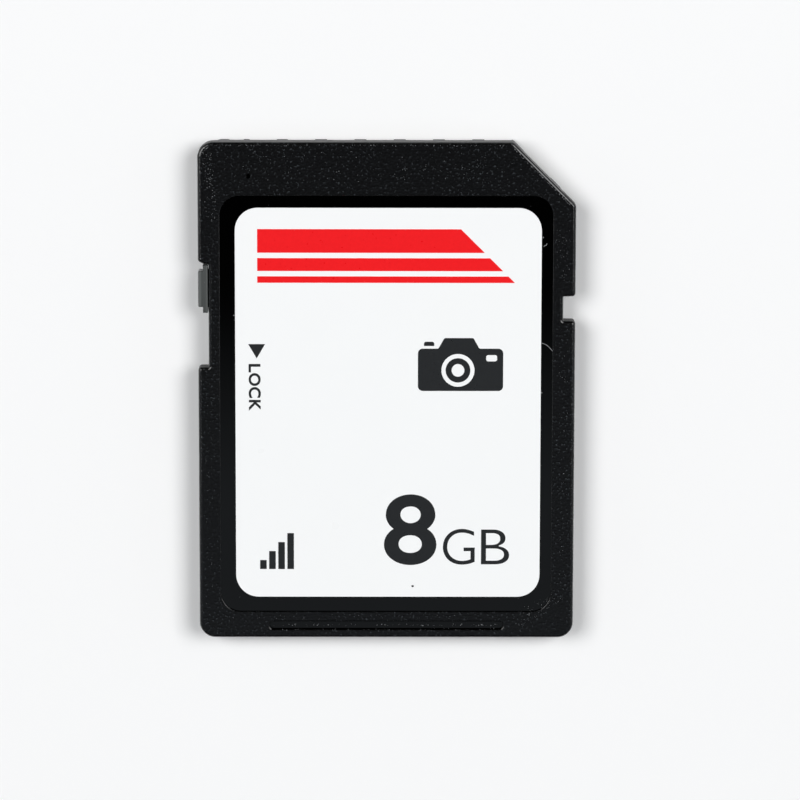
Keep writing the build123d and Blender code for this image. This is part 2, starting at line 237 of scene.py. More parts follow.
class BoardFinish(bpy.types.PropertyGroup):
    """The circuit board and what is soldered to it."""

    mask: colour("Solder mask", "Colour of the board's lacquer", "#12442B")
    yarns: colour("Yarns", "Colour of the lacquer over the glass yarns", "#0C3522")
    gold: colour("Gold", "Colour of the contacts", "#E6B65C")
    tin: colour("Tin", "Colour of leads, pads and solder ends", "#C4C7C8")
    epoxy: colour("Epoxy", "Colour of the chip bodies", "#1A1B1C")
    capacitor: colour("Capacitor", "Colour of the capacitors' ceramic", "#A07850")
    resistor: colour("Resistor", "Colour of the resistors' top glaze", "#202326")
    specks: colour("Specks", "Colour of the specks in both ceramics", "#8A8580")


class DustAndGlintSettings(bpy.types.PropertyGroup):
    """Dust, crumbs and fibres on the card, and pale grains that paint highlights."""

    # Also the colour of the grains that paint highlights and glints
    dust_and_glints: colour("Dust", "Colour of dust and fibres", "#A8AAAC")
    crumb: colour("Crumb", "Colour of the dark crumb on the label", "#2A2622")
    shaded: colour("Shaded", "Colour of the darkest grains", "#3C3E40")
    seed: IntProperty(name="Seed", description="Starts the scatter of the grains", default=7, min=0)


class StudioSettings(bpy.types.PropertyGroup):
    """Floor, lights and camera."""

    floor: colour("Floor", "Colour of the floor and backdrop", "#FAFAFA")
    floor_radius: length("Floor radius", "Flat part of the floor", 0.6)
    cove_radius: length("Cove radius", "Bend from the floor to the backdrop", 0.05)
    backdrop: length("Backdrop", "Height of the backdrop above the bend", 0.02)
    light_distance: length("Light distance", "From the card to each soft light", 1.2)
    light_size: length("Light size", "Side of each square soft light", 0.6)
    light_height: angle("Light height", "Angle of each light above the floor", 57)
    light_spread: angle("Light spread", "Angle of each light from the leading edge's direction", 66)
    light_level: share("Light level", "Light of each lamp on the card; 1 shows white as white", 0.49)
    room: colour("Room", "Colour of the room's light", "#E8F2FB")
    front_fill: share("Front fill", "Light of the room in front of the card", 0.28)
    walls: share("Walls", "Light of the walls to both sides", 0.40)
    wall_top: angle("Wall top", "Where the walls end, from straight up", 60)
    wall_fade: angle("Wall fade", "How softly the walls end, to each side of their top", 8)
    ceiling: share("Ceiling", "Light of the dark room overhead", 0.002)
    ceiling_edge: angle("Ceiling edge", "Where the room turns dark, from straight up to the front", 9.14)
    ceiling_fade: angle("Ceiling fade", "How softly the room turns dark, to each side of the edge", 1.28)
    window_sill: angle("Window sill", "Where the light in front ends, from straight up", 34)
    under_light: share("Under light", "Light below the floor, for looking at the contact side", 0.8)
    lens: FloatProperty(name="Lens", description="Focal length", subtype="DISTANCE_CAMERA", default=190.47)
    distance: length("Distance", "From the camera to the middle of the picture", 0.27005)
    tilt: angle("Tilt", "Lean of the camera towards the leading edge", 9.2115)
    turn: angle("Turn", "Lean of the camera to the side", -0.2969)
    roll: angle("Roll", "Turn of the camera about its own axis", 0.1038)


def connect(tree, node, inputs):
    """Fills a node's inputs with values, or with other nodes' outputs as links."""
    for key, value in inputs.items():
        if isinstance(value, bpy.types.NodeSocket):
            tree.links.new(value, node.inputs[key])
        else:
            node.inputs[key].default_value = value


def add(tree, kind, settings=None, inputs=None):
    """Adds a node with its settings and inputs."""
    node = tree.nodes.new(kind)
    for key, value in (settings or {}).items():
        setattr(node, key, value)
    connect(tree, node, inputs or {})
    return node


def new_material(name):
    """A material with its tree, its shader and the place on the piece in metres."""
    material = bpy.data.materials.new(name)
    material.use_nodes = True
    tree = material.node_tree
    shader = tree.nodes["Principled BSDF"]
    place = add(tree, "ShaderNodeTexCoord").outputs["Object"]
    return material, tree, shader, place


def spark_eroded_abs(finish):
    """Black ABS from a spark-eroded mould.

    The grain is dull and breaks the lights up into fine specks, and its peaks are painted pale, partly as
    wear and partly as painted glints. The label recess and the groove carry the mould's polish, walls and
    all, so they mirror the room like a dark window; their base colour is painted darker there, as painted
    shade.
    """
    material, tree, shader, place = new_material("spark_eroded_abs")
    # Real grains are about 0.1 mm wide, and are drawn coarser so that a picture shows them
    grain = add(
        tree, "ShaderNodeTexNoise", inputs={"Vector": place, "Scale": 1 / finish.grain, "Detail": 1}
    )
    # Handling rubs some patches more than others; the pale peaks, wear and painted glints alike, are stronger
    # there
    handling = add(
        tree, "ShaderNodeTexNoise", inputs={"Vector": place, "Scale": 1 / finish.handling, "Detail": 2}
    )
    peak_strength = add(
        tree,
        "ShaderNodeMapRange",
        inputs={
            "Value": handling.outputs["Fac"],
            "From Min": 0.35,
            "From Max": 0.65,
            "To Min": 0.7,
            "To Max": 1.4,
        },
    )
    axes = add(tree, "ShaderNodeSeparateXYZ", inputs={0: place})
    normal = tree.nodes["Texture Coordinate"].outputs["Normal"]
    facing = add(tree, "ShaderNodeSeparateXYZ", inputs={0: normal})
    # Sunk into the label side, from just under its face to the groove's floor, is the mould's polish, with a
    # darker colour there that paints shade
    polish_and_painted_shade = 1.0
    for axis, middle, reach in (
        ("Z", card_top - (POLISH_START + POLISH_END) / 2 * MM, (POLISH_END - POLISH_START) / 2 * MM),
        ("X", 0.0, cad_high.x - POLISH_OFF_SIDES * MM),
        ("Y", 0.0, cad_high.y - POLISH_OFF_ENDS * MM),
    ):
        span = {0: axes.outputs[axis], 1: middle, 2: reach}
        inside = add(tree, "ShaderNodeMath", {"operation": "COMPARE"}, span)
        both = add(tree, "ShaderNodeMath", {"operation": "MULTIPLY"}, {0: polish_and_painted_shade, 1: inside.outputs[0]})
        polish_and_painted_shade = both.outputs[0]
    # Pale grain peaks: partly wear, partly painted glints
    glint_and_wear_peaks = add(
        tree,
        "ShaderNodeMapRange",
        inputs={
            "Value": grain.outputs["Fac"],
            "From Min": 0.60,
            "From Max": 0.82,
            "To Max": peak_strength.outputs[0],
        },
    )
    painted_highlight = add(
        tree,
        "ShaderNodeMix",
        {"data_type": "RGBA"},
        {MIX_FACTOR: glint_and_wear_peaks.outputs[0], MIX_FIRST: finish.plastic, MIX_SECOND: finish.rubbed},
    )
    # Painted shade: the sunk parts take the darker colour
    base = add(
        tree,
        "ShaderNodeMix",
        {"data_type": "RGBA"},
        {MIX_FACTOR: polish_and_painted_shade, MIX_FIRST: painted_highlight.outputs[MIX_RESULT], MIX_SECOND: finish.polish_and_painted_shade},
    )
    # Upright walls drag along the mould as the shell leaves it, and come out duller than the faces
    steep = add(tree, "ShaderNodeMath", {"operation": "ABSOLUTE"}, {0: facing.outputs["Z"]})
    moulded = add(
        tree,
        "ShaderNodeMapRange",
        inputs={
            "Value": steep.outputs[0],
            "From Min": 0.35,
            "From Max": 0.92,
            "To Min": finish.wall_dullness,
            "To Max": finish.dullness,
        },
    )
    # Sockets leave fine, long streaks on the contact side
    drawn_out = add(
        tree,
        "ShaderNodeMapping",
        inputs={"Vector": place, "Scale": (1 / finish.streak_width, 1 / finish.streak_length, 1.0)},
    )
    streaks = add(
        tree, "ShaderNodeTexNoise", inputs={"Vector": drawn_out.outputs[0], "Scale": 1.0, "Detail": 2}
    )
    scuffed = add(
        tree,
        "ShaderNodeMapRange",
        inputs={"Value": streaks.outputs["Fac"], "From Min": 0.45, "From Max": 0.75, "To Max": 0.25},
    )
    contact_side = add(
        tree, "ShaderNodeMath", {"operation": "LESS_THAN"}, {0: facing.outputs["Z"], 1: -0.9}
    )
    used = add(
        tree,
        "ShaderNodeMath",
        {"operation": "MULTIPLY_ADD"},
        {0: scuffed.outputs[0], 1: contact_side.outputs[0], 2: moulded.outputs[0]},
    )
    roughness = add(
        tree,
        "ShaderNodeMapRange",
        inputs={"Value": polish_and_painted_shade, "To Min": used.outputs[0], "To Max": finish.polish},
    )
    depth = add(
        tree,
        "ShaderNodeMapRange",
        inputs={"Value": polish_and_painted_shade, "To Min": finish.grain_depth, "To Max": 0.0},
    )
    bump = add(
        tree,
        "ShaderNodeBump",
        inputs={"Strength": 1.0, "Distance": depth.outputs[0], "Height": grain.outputs["Fac"]},
    )
    connect(
        tree,
        shader,
        {
            "Base Color": base.outputs[MIX_RESULT],
            "Roughness": roughness.outputs[0],
            "IOR": 1.53,
            "Normal": bump.outputs[0],
        },
    )
    return material


def moulded_acetal(finish):
    """Grey acetal, moulded smooth: a soft satin with fine marks along the way it slides."""
    material, tree, shader, place = new_material("moulded_acetal")
    # Marks run along Y, so the pattern is stretched that way
    drawn_out = add(
        tree,
        "ShaderNodeMapping",
        inputs={"Vector": place, "Scale": (1 / finish.drag, 1 / finish.drag_length, 1 / finish.drag)},
    )
    marks = add(
        tree, "ShaderNodeTexNoise", inputs={"Vector": drawn_out.outputs[0], "Scale": 1.0, "Detail": 2}
    )
    paler = add(
        tree,
        "ShaderNodeMapRange",
        inputs={"Value": marks.outputs["Fac"], "From Min": 0.38, "From Max": 0.62},
    )
    tone = add(
        tree,
        "ShaderNodeMix",
        {"data_type": "RGBA"},
        {MIX_FACTOR: paler.outputs[0], MIX_FIRST: finish.plastic, MIX_SECOND: finish.rubbed},
    )
    axes = add(tree, "ShaderNodeSeparateXYZ", inputs={0: place})
    # Pale strips along the long edges are painted highlights of their rounding
    for middle, reach in SLIDER_HIGHLIGHT_STRIPS:
        strip = {0: axes.outputs["X"], 1: slider_outer + middle * MM, 2: reach * MM}
        near = add(tree, "ShaderNodeMath", {"operation": "COMPARE"}, strip)
        tone = add(
            tree,
            "ShaderNodeMix",
            {"data_type": "RGBA"},
            {MIX_FACTOR: near.outputs[0], MIX_FIRST: tone.outputs[MIX_RESULT], MIX_SECOND: finish.painted_highlight},
        )
    roughness = add(
        tree, "ShaderNodeMapRange", inputs={"Value": marks.outputs["Fac"], "To Min": 0.26, "To Max": 0.42}
    )
    bump = add(
        tree,
        "ShaderNodeBump",
        inputs={"Strength": 1.0, "Distance": 0.004 * MM, "Height": marks.outputs["Fac"]},
    )
    connect(
        tree,
        shader,
        {
            "Base Color": tone.outputs[MIX_RESULT],
            "Roughness": roughness.outputs[0],
            "IOR": 1.48,
            "Normal": bump.outputs[0],
        },
    )
    return material


def laminated_film(finish):
    """White polypropylene film under a satin laminate: even and pale, with a faint orange peel."""
    material, tree, shader, place = new_material("laminated_film")
    # The laminate's waviness is about 2.5 mm from crest to crest
    peel = add(tree, "ShaderNodeTexNoise", inputs={"Vector": place, "Scale": 1 / (2.5 * MM), "Detail": 0})
    bump = add(
        tree,
        "ShaderNodeBump",
        inputs={"Strength": 1.0, "Distance": 0.003 * MM, "Height": peel.outputs["Fac"]},
    )
    roughness = add(
        tree, "ShaderNodeMapRange", inputs={"Value": peel.outputs["Fac"], "To Min": 0.26, "To Max": 0.34}
    )
    connect(
        tree,
        shader,
        {
            "Base Color": finish.film,
            "Roughness": roughness.outputs[0],
            "IOR": 1.49,
            "Normal": bump.outputs[0],
        },
    )
    return material


def screen_ink(name, tone):
    """Screen-printed ink: an even coat whose mesh leaves a faint mottle in tone and gloss."""
    material, tree, shader, place = new_material(name)
    # A screen of about 120 threads to the centimetre leaves marks 0.08 mm apart, drawn at 0.2 mm to show
    mottle = add(tree, "ShaderNodeTexNoise", inputs={"Vector": place, "Scale": 1 / (0.2 * MM), "Detail": 2})
    lightness = add(
        tree, "ShaderNodeMapRange", inputs={"Value": mottle.outputs["Fac"], "To Min": 0.95, "To Max": 1.05}
    )
    coat = add(tree, "ShaderNodeHueSaturation", inputs={"Color": tone, "Value": lightness.outputs[0]})
    roughness = add(
        tree, "ShaderNodeMapRange", inputs={"Value": mottle.outputs["Fac"], "To Min": 0.26, "To Max": 0.31}
    )
    connect(tree, shader, {"Base Color": coat.outputs[0], "Roughness": roughness.outputs[0], "IOR": 1.5})
    return material


def hard_gold_plate(finish):
    """Hard gold over nickel: a bright warm metal, finely wiped along the way the card is pushed in."""
    material, tree, shader, place = new_material("hard_gold_plate")
    # Socket springs leave marks about 0.04 mm wide and 3 mm long
    drawn_out = add(
        tree, "ShaderNodeMapping", inputs={"Vector": place, "Scale": (1 / (0.04 * MM), 1 / (3 * MM), 1.0)}
    )
    wipes = add(
        tree, "ShaderNodeTexNoise", inputs={"Vector": drawn_out.outputs[0], "Scale": 1.0, "Detail": 2}
    )
    roughness = add(
        tree, "ShaderNodeMapRange", inputs={"Value": wipes.outputs["Fac"], "To Min": 0.16, "To Max": 0.40}
    )
    bump = add(
        tree,
        "ShaderNodeBump",
        inputs={"Strength": 1.0, "Distance": 0.0006 * MM, "Height": wipes.outputs["Fac"]},
    )
    connect(
        tree,
        shader,
        {
            "Base Color": finish.gold,
            "Metallic": 1.0,
            "Roughness": roughness.outputs[0],
            "Normal": bump.outputs[0],
        },
    )
    return material


def lacquered_laminate(finish):
    """Glass-epoxy laminate under green lacquer: glossy, with the cloth's weave faint beneath it."""
    material, tree, shader, place = new_material("lacquered_laminate")
    # Glass yarns lie about 0.45 mm apart, and a wave repeats 20 / tau times for each unit of its scale
    yarns = add(
        tree,
        "ShaderNodeTexWave",
        {"bands_direction": "X"},
        {"Vector": place, "Scale": math.tau / 20 / (0.45 * MM), "Distortion": 1.5, "Detail": 2},
    )
    tone = add(
        tree,
        "ShaderNodeMix",
        {"data_type": "RGBA"},
        {MIX_FACTOR: yarns.outputs["Fac"], MIX_FIRST: finish.mask, MIX_SECOND: finish.yarns},
    )
    connect(tree, shader, {"Base Color": tone.outputs[MIX_RESULT], "Roughness": 0.28, "IOR": 1.55})
    return material


def moulded_epoxy(finish):
    """Black epoxy moulding compound: matt and slightly sandy from its silica filler."""
    material, tree, shader, place = new_material("moulded_epoxy")
    # Filler grains are about 0.05 mm across
    filler = add(
        tree, "ShaderNodeTexNoise", inputs={"Vector": place, "Scale": 1 / (0.05 * MM), "Detail": 2}
    )
    bump = add(
        tree,
        "ShaderNodeBump",
        inputs={"Strength": 1.0, "Distance": 0.003 * MM, "Height": filler.outputs["Fac"]},
    )
    roughness = add(
        tree, "ShaderNodeMapRange", inputs={"Value": filler.outputs["Fac"], "To Min": 0.55, "To Max": 0.75}
    )
    connect(
        tree,
        shader,
        {
            "Base Color": finish.epoxy,
            "Roughness": roughness.outputs[0],
            "IOR": 1.55,
            "Normal": bump.outputs[0],
        },
    )
    return material


def tinned_copper(finish):
    """Copper dipped in tin: a soft grey metal, dull in patches where the solder flowed."""
    material, tree, shader, place = new_material("tinned_copper")
    # Solder freezes in patches about 0.15 mm across
    flow = add(tree, "ShaderNodeTexNoise", inputs={"Vector": place, "Scale": 1 / (0.15 * MM), "Detail": 2})
    roughness = add(
        tree, "ShaderNodeMapRange", inputs={"Value": flow.outputs["Fac"], "To Min": 0.25, "To Max": 0.5}
    )
    connect(tree, shader, {"Base Color": finish.tin, "Metallic": 1.0, "Roughness": roughness.outputs[0]})
    return material


def fired_ceramic(name, body, finish):
    """A fired ceramic chip with tinned ends: matt and chalky in the middle, grey metal at both ends."""
    material, tree, shader, place = new_material(name)
    # Each tinned end takes a quarter of the chip's length
    shares = tree.nodes["Texture Coordinate"].outputs["Generated"]
    along = add(tree, "ShaderNodeSeparateXYZ", inputs={0: shares})
    middle = add(tree, "ShaderNodeMath", {"operation": "COMPARE"}, {0: along.outputs["X"], 1: 0.5, 2: 0.25})
    # The ceramic's specks are about 0.04 mm across
    specks = add(
        tree, "ShaderNodeTexNoise", inputs={"Vector": place, "Scale": 1 / (0.04 * MM), "Detail": 1}
    )
    chalk = add(
        tree,
        "ShaderNodeMix",
        {"data_type": "RGBA"},
        {MIX_FACTOR: specks.outputs["Fac"], MIX_FIRST: body, MIX_SECOND: finish.specks},
    )
    tone = add(
        tree,
        "ShaderNodeMix",
        {"data_type": "RGBA"},
        {MIX_FACTOR: middle.outputs[0], MIX_FIRST: finish.tin, MIX_SECOND: chalk.outputs[MIX_RESULT]},
    )
    metal = add(tree, "ShaderNodeMapRange", inputs={"Value": middle.outputs[0], "To Min": 1.0, "To Max": 0.0})
    roughness = add(
        tree, "ShaderNodeMapRange", inputs={"Value": middle.outputs[0], "To Min": 0.35, "To Max": 0.7}
    )
    connect(
        tree,
        shader,
        {
            "Base Color": tone.outputs[MIX_RESULT],
            "Metallic": metal.outputs[0],
            "Roughness": roughness.outputs[0],
        },
    )
    return material


def chalky_grains(name, tone, finish):
    """Lint and skin dust, or dried dirt: chalky, each grain a little lighter or darker. The pale finish also
    colours the grains that paint highlights.
    """
    material, tree, shader, place = new_material(name)
    # Tone changes over about 0.3 mm, from grain to grain
    grains = add(
        tree, "ShaderNodeTexNoise", inputs={"Vector": place, "Scale": 1 / (0.3 * MM), "Detail": 1}
    )
    shade = add(
        tree,
        "ShaderNodeMix",
        {"data_type": "RGBA"},
        {MIX_FACTOR: grains.outputs["Fac"], MIX_FIRST: finish.shaded, MIX_SECOND: tone},
    )
    connect(tree, shader, {"Base Color": shade.outputs[MIX_RESULT], "Roughness": 0.9, "IOR": 1.45})
    return material


def matt_card(finish):
    """White matt card for the floor, open to the view from beneath and to light for the contact side."""
    material, tree, shader, place = new_material("matt_card")
    connect(tree, shader, {"Base Color": finish.floor, "Roughness": 0.9, "Specular IOR Level": 0.1})
    axes = add(tree, "ShaderNodeSeparateXYZ", inputs={0: place})
    x, y = axes.outputs["X"], axes.outputs["Y"]
    across = add(tree, "ShaderNodeMath", {"operation": "COMPARE"}, {0: x, 1: 0.0, 2: WINDOW_WIDTH * MM})
    down = add(tree, "ShaderNodeMath", {"operation": "COMPARE"}, {0: y, 1: 0.0, 2: WINDOW_LENGTH * MM})
    diagonal = add(tree, "ShaderNodeMath", {"operation": "ADD"}, {0: x, 1: y})
    corner = add(
        tree, "ShaderNodeMath", {"operation": "LESS_THAN"}, {0: diagonal.outputs[0], 1: WINDOW_CORNER * MM}
    )
    # Seen from above, the window is closed, so that the contact slots look into shade
    seen = add(tree, "ShaderNodeLightPath").outputs["Is Camera Ray"]
    unseen = add(tree, "ShaderNodeMath", {"operation": "SUBTRACT"}, {0: 1.0, 1: seen})
    window = across.outputs[0]
    for edge in (down, corner, unseen):
        both = add(tree, "ShaderNodeMath", {"operation": "MULTIPLY"}, {0: window, 1: edge.outputs[0]})
        window = both.outputs[0]
    beneath = add(tree, "ShaderNodeNewGeometry").outputs["Backfacing"]
    clear = add(tree, "ShaderNodeMath", {"operation": "MAXIMUM"}, {0: window, 1: beneath})
    glassy = add(tree, "ShaderNodeBsdfTransparent")
    mixed = add(
        tree,
        "ShaderNodeMixShader",
        inputs={0: clear.outputs[0], 1: shader.outputs[0], 2: glassy.outputs[0]},
    )
    connect(tree, tree.nodes["Material Output"], {"Surface": mixed.outputs[0]})
    return material


def dress(material, *names):
    """Gives CAD nodes a finish."""
    for name in names:
        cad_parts[name].material_slots[0].material = material


def link(name, mesh, material):
    """Links a mesh into the scene as an object with one finish."""
    mesh.materials.clear()
    mesh.materials.append(material)
    piece = bpy.data.objects.new(name, mesh)
    bpy.context.scene.collection.objects.link(piece)
    return piece


def rounded(corners, steps=8):
    """Points of a closed outline of (x, y, radius) corners, each turned by an arc of its radius."""
    points = []
    for index, (x, y, radius) in enumerate(corners):
        corner = Vector((x, y))
        before = (Vector(corners[index - 1][:2]) - corner).normalized()
        after = (Vector(corners[(index + 1) % len(corners)][:2]) - corner).normalized()
        half = before.angle(after) / 2
        reach = radius / math.tan(half)
        middle = corner + (before + after).normalized() * (radius / math.sin(half))
        start = corner + before * reach - middle
        turn = start.angle_signed(corner + after * reach - middle, 0.0) if radius else 0.0
        for step in range(steps + 1 if radius else 1):
            points.append(middle + Matrix.Rotation(-turn * step / steps, 2) @ start)
    return points


def circle(x, y, radius, steps=72):
    """Points of a circle."""
    turns = [2 * math.pi * step / steps for step in range(steps)]
    return [Vector((x + radius * math.cos(turn), y + radius * math.sin(turn))) for turn in turns]


def shape(name, outlines):
    """A flat filled curve. An outline inside another is a hole, and one inside a hole is filled again."""
    curve = bpy.data.curves.new(name, "CURVE")
    curve.dimensions = "2D"
    curve.fill_mode = "BOTH"
    for points in outlines:
        spline = curve.splines.new("POLY")
        spline.points.add(len(points) - 1)
        for point, (x, y) in zip(spline.points, points):
            point.co = (x, y, 0, 1)
        spline.use_cyclic_u = True
    return curve


def words(name, text, weight):
    """Lettering in Blender's own plain font, at a size of 1, made bolder or lighter by weight."""
    curve = bpy.data.curves.new(name, "FONT")
    curve.body = text
    curve.fill_mode = "BOTH"
    curve.offset = weight
    return curve


def solid_of(name, curve):
    """Mesh of a curve, with its seams merged."""
    holder = bpy.data.objects.new(name, curve)
    mesh = bpy.data.meshes.new_from_object(holder)
    bpy.data.objects.remove(holder)
    bpy.data.curves.remove(curve)
    merged = bmesh.new()
    merged.from_mesh(mesh)
    bmesh.ops.remove_doubles(merged, verts=merged.verts, dist=1e-5)
    bmesh.ops.recalc_face_normals(merged, faces=merged.faces)
    merged.to_mesh(mesh)
    merged.free()
    return mesh


def fit(mesh, box, turn):
    """Turns a flat mesh, and stretches it over a box on the label."""
    mesh.transform(Matrix.Rotation(turn, 4, "Z"))
    x_low, x_high, y_low, y_high = box
    xs = [vertex.co.x for vertex in mesh.vertices]
    ys = [vertex.co.y for vertex in mesh.vertices]
    wide = (x_high - x_low) / (max(xs) - min(xs))
    high = (y_high - y_low) / (max(ys) - min(ys))
    moved = Matrix.Translation((x_low - min(xs) * wide, y_low - min(ys) * high, 0))
    mesh.transform(moved @ Matrix.Diagonal((wide, high, 1, 1)))


def lay_print(name, curve, material, ink_height, box=None, turn=0.0):
    """Lays a curve that is drawn in millimetres on the label as a thin slab of ink."""
    curve.extrude = ink_height / MM / 2
    mesh = solid_of(name, curve)
    if box:
        fit(mesh, box, turn)
    rise = Matrix.Translation((0, 0, label_top + ink_height / 2))
    mesh.transform(rise @ Matrix.Scale(MM, 4))
    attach(link(name, mesh, material), CARD)


def band_outlines():
    """Stripes that thin out downwards. Their right ends follow the direction of the card's cut corner."""
    x_low, x_high, y_low, y_high = BAND_BOX
    slant = x_high + y_low
    outlines = []
    top = y_high
    for portion in BAND_STRIPES:
        bottom = top - portion * (y_high - y_low)
        outlines.append([(x_low, bottom), (slant - bottom, bottom), (slant - top, top), (x_low, top)])
        top = bottom - BAND_GAP * (y_high - y_low)
    return outlines


def pictogram_outlines():
    """A plain sign for a still camera, drawn in shares of its box.

    It has a body with a viewfinder hump, a shutter button, a flash window and a lens ring with a middle.
    """
    x_low, x_high, y_low, y_high = PICTOGRAM_BOX
    wide = x_high - x_low
    high = y_high - y_low
    shoulder = y_low + 0.80 * high
    lens = (x_low + 0.47 * wide, y_low + 0.39 * high)
    round_body = 0.09 * high
    round_hump = 0.04 * high
    body = rounded([
        (x_low, y_low, round_body),
        (x_high, y_low, round_body),
        (x_high, shoulder, round_body),
        (x_low + 0.72 * wide, shoulder, round_hump),
        (x_low + 0.65 * wide, y_high, round_hump),
        (x_low + 0.31 * wide, y_high, round_hump),
        (x_low + 0.24 * wide, shoulder, round_hump),
        (x_low, shoulder, round_body),
    ])
    button = rounded([
        (x_low + 0.07 * wide, shoulder + 0.05 * high, 0),
        (x_low + 0.19 * wide, shoulder + 0.05 * high, 0),
        (x_low + 0.19 * wide, shoulder + 0.13 * high, round_hump),
        (x_low + 0.07 * wide, shoulder + 0.13 * high, round_hump),
    ])
    window = rounded([
        (x_low + 0.80 * wide, shoulder - 0.24 * high, round_hump),
        (x_low + 0.93 * wide, shoulder - 0.24 * high, round_hump),
        (x_low + 0.93 * wide, shoulder - 0.12 * high, round_hump),
        (x_low + 0.80 * wide, shoulder - 0.12 * high, round_hump),
    ])
    rings = [circle(*lens, portion * high) for portion in (0.31, 0.23, 0.12)]
    return [body, button, window, *rings]


def steps_outlines():
    """Upright bars, each taller than the last."""
    x_low, x_high, y_low, y_high = STEPS_BOX
    pitch = (x_high - x_low) / (STEP_COUNT - 1 + STEP_WIDTH)
    bar = STEP_WIDTH * pitch
    outlines = []
    for index in range(STEP_COUNT):
        left = x_low + index * pitch
        top = y_low + (y_high - y_low) * (index + 1) / STEP_COUNT
        outlines.append([(left, y_low), (left + bar, y_low), (left + bar, top), (left, top)])
    return outlines


def arrow_outlines():
    """A triangle that points the way the slider locks."""
    x_low, x_high, y_low, y_high = ARROW_BOX
    return [[(x_low, y_high), ((x_low + x_high) / 2, y_low), (x_high, y_high)]]


def landing(x, y):
    """Where something dropped at a place in millimetres lands, and the surface's normal there, or None."""
    depsgraph = bpy.context.evaluated_depsgraph_get()
    start = Vector((x * MM, y * MM, card_top + MM))
    hit, place, normal, *_ = bpy.context.scene.ray_cast(depsgraph, start, Vector((0, 0, -1)))
    return (place, normal) if hit else None


def add_grain(mesh, place, normal, size, dice):
    """Adds a squat, uneven grain that is half sunk where it lies."""
    upright = normal.to_track_quat("Z", "Y").to_matrix().to_4x4()
    turned = Matrix.Rotation(dice.uniform(0, math.tau), 4, "Z")
    width = size * dice.uniform(0.5, 1.0)
    height = size * 0.6
    form = Matrix.Diagonal((size, width, height, 1))
    where = Matrix.Translation(place) @ upright @ turned @ form
    bmesh.ops.create_icosphere(mesh, subdivisions=1, radius=0.5, matrix=where)


def piece_of(name, mesh_being_made, material):
    """Ends a mesh that was being made, and lays it on the card as a smooth piece."""
    mesh = bpy.data.meshes.new(name)
    mesh_being_made.to_mesh(mesh)
    mesh_being_made.free()
    mesh.shade_smooth()
    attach(link(name, mesh, material), CARD)


def lay_fibre(name, places, material):
    """Lays a fibre along places in millimetres, on whatever lies under each of them."""
    curve = bpy.data.curves.new(name, "CURVE")
    curve.dimensions = "3D"
    curve.bevel_depth = FIBRE_WIDTH / 2
    curve.bevel_resolution = 1
    curve.use_fill_caps = True
    spline = curve.splines.new("NURBS")
    spline.points.add(len(places) - 1)
    for point, (x, y) in zip(spline.points, places):
        ground, _ = landing(x, y)
        point.co = (x, y, ground.z / MM + FIBRE_WIDTH / 2, 1)
    spline.order_u = 3
    spline.use_endpoint_u = True
    mesh = solid_of(name, curve)
    mesh.transform(Matrix.Scale(MM, 4))
    mesh.shade_smooth()
    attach(link(name, mesh, material), CARD)


def cove_mesh(studio):
    """A round floor that bends up into a low backdrop, turned from its profile."""
    bend_steps = 10
    around_steps = 96
    profile = [(0, 0), (studio.floor_radius, 0)]
    for step in range(1, bend_steps + 1):
        turn = math.pi / 2 * step / bend_steps
        out = studio.floor_radius + studio.cove_radius * math.sin(turn)
        profile.append((out, studio.cove_radius * (1 - math.cos(turn))))
    profile.append((profile[-1][0], profile[-1][1] + studio.backdrop))
    turned = bmesh.new()
    line = [turned.verts.new((out, 0, up)) for out, up in profile]
    edges = [turned.edges.new(pair) for pair in zip(line, line[1:])]
    bmesh.ops.spin(
        turned, geom=line + edges, axis=(0, 0, 1), cent=(0, 0, 0), angle=math.tau, steps=around_steps
    )
    bmesh.ops.remove_doubles(turned, verts=turned.verts, dist=1e-6)
    turned.normal_update()
    # The flat part has to face up, because the floor is clear from its other side
    if any(face.normal.z < -0.5 for face in turned.faces):
        bmesh.ops.reverse_faces(turned, faces=turned.faces)
    mesh = bpy.data.meshes.new("floor")
    turned.to_mesh(mesh)
    turned.free()
    mesh.shade_smooth()
    return mesh


def soft_light(name, studio, side):
    """A square soft light at one side of the leading edge, aimed at the card."""
    lamp = bpy.data.lights.new(name, "AREA")
    lamp.shape = "SQUARE"
    lamp.size = studio.light_size
    # Power that gives the card this light, for a lamp that faces it from this far and this high
    card_light = math.pi * studio.light_level
    lamp.energy = math.pi * card_light * studio.light_distance**2 / math.sin(studio.light_height)
    flat = math.cos(studio.light_height)
    way = Vector((
        side * flat * math.sin(studio.light_spread),
        flat * math.cos(studio.light_spread),
        math.sin(studio.light_height),
    ))
    holder = bpy.data.objects.new(name, lamp)
    holder.location = way * studio.light_distance
    holder.rotation_mode = "QUATERNION"
    holder.rotation_quaternion = way.to_track_quat("Z", "Y")
    bpy.context.scene.collection.objects.link(holder)


